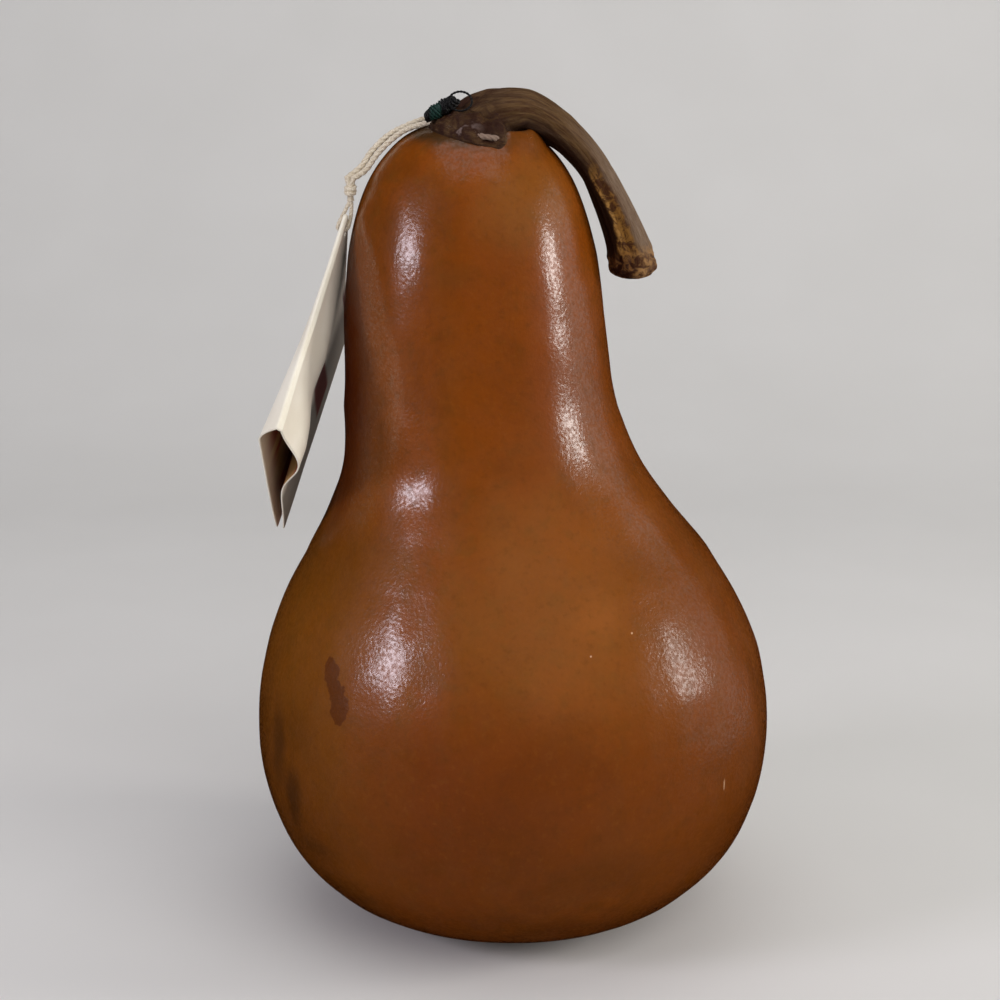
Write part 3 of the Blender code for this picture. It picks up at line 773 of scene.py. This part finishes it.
def stem_point(section, share, angle):
    """Point of the stem's skin, with its ridges, cracks and lumpy end."""
    x, height, lean, radius = section
    tilt = math.radians(lean)
    across = Vector((math.cos(tilt), 0.0, -math.sin(tilt)))
    middle = Vector((x, STEM_Y, height))
    around = Vector((math.cos(angle) * 9.0, math.sin(angle) * 9.0, share * 22.0))
    meander = 0.4 * waves(Vector((share * 26.0, 0.0, 0.0)), 4.0, 3.0)
    ridge = STEM_RIDGE_RISE * math.cos(STEM_RIDGES * (angle + 0.3 * meander))
    ridge += 0.02 * math.cos(11.0 * (angle + meander) + 1.3) + 0.012 * math.cos(19.0 * (angle - meander))
    reach = radius * (1.0 + ridge)
    reach -= 0.34 * max(0.0, waves(around, 1.3, 2.0) - 0.12)
    reach += 0.18 * waves(around, 3.2, 6.0)
    place = middle + across * reach * math.cos(angle) + Vector((0.0, reach * math.sin(angle), 0.0))
    knobs = 0.75 * waves(place, 3.0, 4.0) + 0.4 * waves(place, 1.3, 9.0)
    reach += ease((share - 0.72) / 0.1) * min(1.0, radius / 5.0) * knobs
    return middle + across * reach * math.cos(angle) + Vector((0.0, reach * math.sin(angle), 0.0))


def collar_point(corner, angle, full, crack):
    """Point of the collar at a corner of its profile, uneven on its outer side and lower at the crack."""
    opened = CRACK_DEPTH * crack * ease(corner.y / 1.5)
    reach = COLLAR_MIDDLE + (corner.x - COLLAR_MIDDLE) * full
    above = (corner.y if corner.y < 0.0 else corner.y * full) - opened
    outer = ease((corner.x - COLLAR_OUTER_FROM) / COLLAR_OUTER_WIDTH)
    spot = Vector((*round_foot(reach, angle), above * 2.0))
    reach += outer * (0.28 * waves(spot, 2.6, 13.0) + 0.16 * waves(spot, 0.9, 17.0) - opened)
    above += (0.5 * waves(spot, 2.1, 19.0) + 0.22 * waves(spot, 0.9, 23.0)) * ease(corner.y / 2.0)
    x, y = round_foot(reach, angle)
    return Vector((x, y, shell_height(x, y) + above))


def build_collar(material):
    """Flaking bark that spreads from the stem's foot over the string and onto the shoulder."""
    corners = [(reach, above, 0.0) for reach, above in COLLAR_PROFILE]
    outline = smooth_line(corners + corners[:1], 4)[:-1]
    rows = []
    walked = []
    for step in range(COLLAR_STEPS + 1):
        share = step / COLLAR_STEPS
        angle = COLLAR_FROM + (COLLAR_TO - COLLAR_FROM) * share
        full = ease(min(share, 1.0 - share) / COLLAR_TAPER)
        crack = math.exp(-((angle - CRACK_ANGLE) / CRACK_HALF_WIDTH) ** 4)
        rows.append([collar_point(corner, angle, full, crack) for corner in outline])
        walked.append(0.02 + 0.1 * step / COLLAR_STEPS)
    middle = sum(rows[-1], Vector()) / len(rows[-1])
    piece = grid_mesh("stem_collar", rows, uv_rows=walked, cap_start=True, cap_end=middle)
    return place_piece(piece, material, "stem_bark")


def build_stem(material):
    """The bent stem at full detail, with its ridges and crumbly end."""
    sections = stem_sections()
    last = len(sections) - 1
    rows = []
    walked = [0.0]
    for index, section in enumerate(sections):
        rows.append([stem_point(section, index / last, 2.0 * math.pi * side / STEM_SIDES)
                     for side in range(STEM_SIDES)])
        if index:
            before = sections[index - 1]
            walked.append(walked[-1] + math.hypot(section[0] - before[0], section[1] - before[1]) / 100.0)
    tip = sum(rows[-1], Vector()) / STEM_SIDES - Vector((0.0, 0.0, 0.1))
    piece = grid_mesh("stem_bark", rows, uv_rows=walked, cap_start=True, cap_end=tip)
    return place_piece(piece, material, "stem_bark", "stem")


def string_route():
    """Route of the doubled string, as in the part."""
    turn = []
    for degrees in range(196, 523, 36):
        around = math.radians(degrees)
        x, y = round_foot(STRING_TURN_RADIUS, around)
        turn.append((x, y, shell_height(x, y) + STRING_LIFT))
    return list(STRING_NEAR) + turn + list(STRING_FAR[::-1])


def build_string(material, hung):
    """The tag string: one cord from the knot, round the stem's foot and back; the short pieces handed in as
    hung are not used.
    """
    line = even_line(string_route(), 0.4)
    piece = rope_piece("tag_cord", [(line, False)], STRING_DIAMETER + STRING_FLUFF, fuzz=170)
    place_piece(piece, material, "cotton_string", "tag_string")
    return piece


def build_knot(material):
    """Tight knot: the two strands run through a coil of the same string."""
    axis = Vector((0.16, 0.05, 1.0)).normalized()
    lean = axis.to_track_quat("Z", "Y").to_matrix()
    coil = []
    for step in range(29):
        share = step / 28
        angle = 2.0 * math.pi * 2.3 * share - 1.2
        swell = 0.7 + 0.35 * math.sin(math.pi * share)
        coil.append(KNOT_CENTRE + lean @ Vector((swell * math.cos(angle), swell * math.sin(angle),
                                                 -1.15 + 2.3 * share + 0.4 * math.cos(angle))))
    strands = [(even_line(coil, 0.3), False)]
    for top, shift in ((Vector(STRING_NEAR[0]), 0.35), (Vector(STRING_FAR[0]), -0.35)):
        run = [top + Vector((shift * 0.4, 0.0, 0.5)), KNOT_CENTRE + Vector((shift, 0.0, 1.6)),
               KNOT_CENTRE + Vector((-shift * 0.6, 0.1, 0.0)), KNOT_CENTRE + Vector((shift * 0.7, 0.0, -2.9))]
        strands.append((even_line(run, 0.3), False))
    piece = rope_piece("knot", strands, 1.35, fuzz=30, seed=5.0)
    return place_piece(piece, material, "cotton_string", "string_knot")


def card_hole_centre():
    """Middle of the punched hole."""
    return CARD_CORNER + (CARD_FOLD.normalized() + CARD_SIDE.normalized()) * CARD_HOLE_INSET


def build_tag_loop(material):
    """Thread from the knot through the card's hole."""
    low = card_hole_centre()
    high = Vector((KNOT_CENTRE.x, KNOT_CENTRE.y, 194.9))
    half = Vector((1.35, 0.0, 0.0))
    route = [low, low + half + Vector((0.0, 0.0, 0.9)), low.lerp(high, 0.6) + half * 0.7, high,
             low.lerp(high, 0.6) - half * 0.7, low - half + Vector((0.0, 0.0, 0.9))]
    line = even_line(route + [low], 0.3)[:-1]
    piece = rope_piece("tag_thread", [(line, True)], 1.0, seed=9.0, lay=3.0)
    return place_piece(piece, material, "cotton_string", "tag_loop")


def build_wrap(material):
    """Bundle of dark thread, wound turn by turn over its core."""
    axis = WRAP_END - WRAP_START
    turn = axis.to_track_quat("Z", "Y").to_matrix()
    body_rows = []
    for step in range(41):
        share = step / 40
        radius = 0.4 + (WRAP_RADIUS - 0.85) * math.sin(math.pi * min(1.0, 0.05 + 0.85 * share)) ** 0.7
        body_rows.append([WRAP_START + axis * share
                          + turn @ Vector((radius * math.cos(2.0 * math.pi * side / 24),
                                           radius * math.sin(2.0 * math.pi * side / 24), 0.0))
                          for side in range(24)])
    core = grid_mesh("thread_core", body_rows, cap_start=True, cap_end=WRAP_END)
    place_piece(core, material, "dark_thread")
    points = []
    turns = 15
    for step in range(turns * 16 + 1):
        share = step / (turns * 16)
        swell = math.sin(math.pi * min(1.0, 0.05 + 0.85 * share)) ** 0.7
        radius = 0.45 + (WRAP_RADIUS - 0.85) * swell + 0.16 * math.sin(share * 23.0) * swell
        angle = 2.0 * math.pi * turns * share
        slant = 0.35 * math.sin(angle + share * 9.0)
        points.append(WRAP_START + axis * share
                      + turn @ Vector((radius * math.cos(angle), radius * math.sin(angle), slant)))
    strands = [(even_line(points, 0.35), False)]
    piece = rope_piece("thread_winding", strands, 0.66, seed=3.0, plies=2, lay=1.8, sides=6)
    return place_piece(piece, material, "dark_thread", "thread_wrap")


def build_ring(material):
    """Loose ring of the dark thread."""
    points = []
    for step in range(20):
        t = 2.0 * math.pi * step / 20
        points.append(RING_CENTRE + Vector((RING_HALF_WIDTH * math.cos(t), 0.18 * math.sin(2.0 * t),
                                            RING_HALF_HEIGHT * math.sin(t))))
    line = even_line(points + [points[0]], 0.25)[:-1]
    piece = rope_piece("thread_ring", [(line, True)], 0.58, seed=6.0, plies=2, lay=1.6, sides=6)
    return place_piece(piece, material, "dark_thread", "thread_loop")


def leaf_offset(side, along, across):
    """How far a leaf stands off the card's middle plane."""
    back = CARD_BACK_TOP + (CARD_BACK_BOTTOM - CARD_BACK_TOP) * along
    if side < 0.0:
        rounded = 1.0 - (1.0 - min(1.0, across / CARD_LEFT_ROUND)) ** 1.6
        spread = CARD_LEFT_SPREAD * along ** 1.5 * rounded * (1.0 - across) ** 0.8
        back -= CARD_BACK_GAP * (1.0 + along)
        return -CARD_HALF_PINCH - spread + (back + CARD_HALF_PINCH) * ease((across - 0.5) / 0.5)
    swell = between(CARD_SWELL, along) * math.exp(-((across - CARD_SWELL_AT) / CARD_SWELL_WIDTH) ** 2)
    return CARD_HALF_PINCH + swell + (back - CARD_HALF_PINCH) * ease((across - 0.5) / 0.4)


def card_flat(along):
    """Middle line of the folded card at one place along its fold, as (across, stand-off) in mm."""
    width = CARD_SIDE.length
    shares = [(step / 48) ** 1.5 for step in range(1, 49)]
    left = [Vector((share * width, leaf_offset(-1.0, along, share))) for share in shares]
    right = [Vector((share * width, leaf_offset(1.0, along, share))) for share in shares]
    pinch = CARD_HALF_PINCH
    fold = [Vector((0.0, -pinch)), Vector((-pinch * 0.7, -0.2)), Vector((-pinch, 0.0)),
            Vector((-pinch * 0.7, 0.2)), Vector((0.0, pinch))]
    return left[::-1] + fold + right


def build_card(material):
    """The folded card: two leaves from one sharp fold, pinched above and curled open below."""
    out = CARD_FOLD.cross(CARD_SIDE).normalized()
    side_unit = CARD_SIDE.normalized()
    body = bmesh.new()
    uv = body.loops.layers.uv.new("UVMap")
    sheets = ([], [])
    steps = 84
    for station in range(steps + 1):
        along = 0.012 + 0.988 * station / steps
        origin = CARD_CORNER + CARD_FOLD * along
        flat = card_flat(along)
        for sheet in sheets:
            sheet.append([])
        for index, point in enumerate(flat):
            run = (flat[min(index + 1, len(flat) - 1)] - flat[max(index - 1, 0)]).normalized()
            normal = Vector((run.y, -run.x))
            place = origin + side_unit * point.x + out * point.y
            place += out * 0.1 * waves(place, 14.0, 2.0)
            for sheet, sign in zip(sheets, (-0.5, 0.5)):
                shift = (side_unit * normal.x + out * normal.y) * sign * CARD_THICKNESS
                sheet[-1].append(body.verts.new((place + shift) * MM))
    count = len(sheets[0][0])
    for half, sheet in enumerate(sheets):
        for row in range(steps):
            for index in range(count - 1):
                face = body.faces.new((sheet[row][index], sheet[row][index + 1],
                                       sheet[row + 1][index + 1], sheet[row + 1][index]))
                corners = ((index, row), (index + 1, row), (index + 1, row + 1), (index, row + 1))
                for loop, corner in zip(face.loops, corners):
                    loop[uv].uv = (0.01 + 0.5 * half + 0.48 * corner[0] / (count - 1), corner[1] / steps)
    outer, inner = sheets
    for row in (0, -1):
        for index in range(count - 1):
            body.faces.new((outer[row][index], outer[row][index + 1], inner[row][index + 1], inner[row][index]))
    for column in (0, -1):
        for row in range(steps):
            body.faces.new((outer[row][column], outer[row + 1][column], inner[row + 1][column],
                            inner[row][column]))
    card = finish_mesh("folded_card", body)
    punch_hole(card, card_hole_centre(), out)
    return place_piece(card, material, "cream_card", "tag_card")


def punch_hole(card, centre, out):
    """Punches the round hole through both leaves."""
    turn = out.to_track_quat("Z", "Y").to_matrix()
    rows = []
    for height in (-4.0, 4.0):
        rows.append([centre + turn @ Vector((CARD_HOLE_RADIUS * math.cos(math.pi * side / 24),
                                             CARD_HOLE_RADIUS * math.sin(math.pi * side / 24), height))
                     for side in range(48)])
    body = bmesh.new()
    verts = [[body.verts.new(point * MM) for point in row] for row in rows]
    for side in range(48):
        other = (side + 1) % 48
        body.faces.new((verts[0][side], verts[0][other], verts[1][other], verts[1][side]))
    body.faces.new(verts[0])
    body.faces.new(verts[1])
    cutter = finish_mesh("cutter_hole", body)
    modifier = card.modifiers.new("hole", "BOOLEAN")
    modifier.operation = "DIFFERENCE"
    modifier.solver = "EXACT"
    modifier.object = cutter
    bpy.context.view_layer.objects.active = card
    with bpy.context.temp_override(object=card, active_object=card, selected_objects=[card]):
        bpy.ops.object.modifier_apply(modifier="hole")
    bpy.data.objects.remove(cutter, do_unlink=True)


def build_all():
    """Camera and string first, then every other piece, the lights and the floor."""
    add_camera()
    cotton = cotton_material()
    build_string(cotton, [build_knot(cotton), build_tag_loop(cotton)])
    build_shell(skin_material())
    bark = bark_material()
    build_stem(bark)
    build_collar(bark)
    thread = thread_material()
    build_wrap(thread)
    build_ring(thread)
    build_card(card_material())
    add_lights()
    add_floor()


build_all()
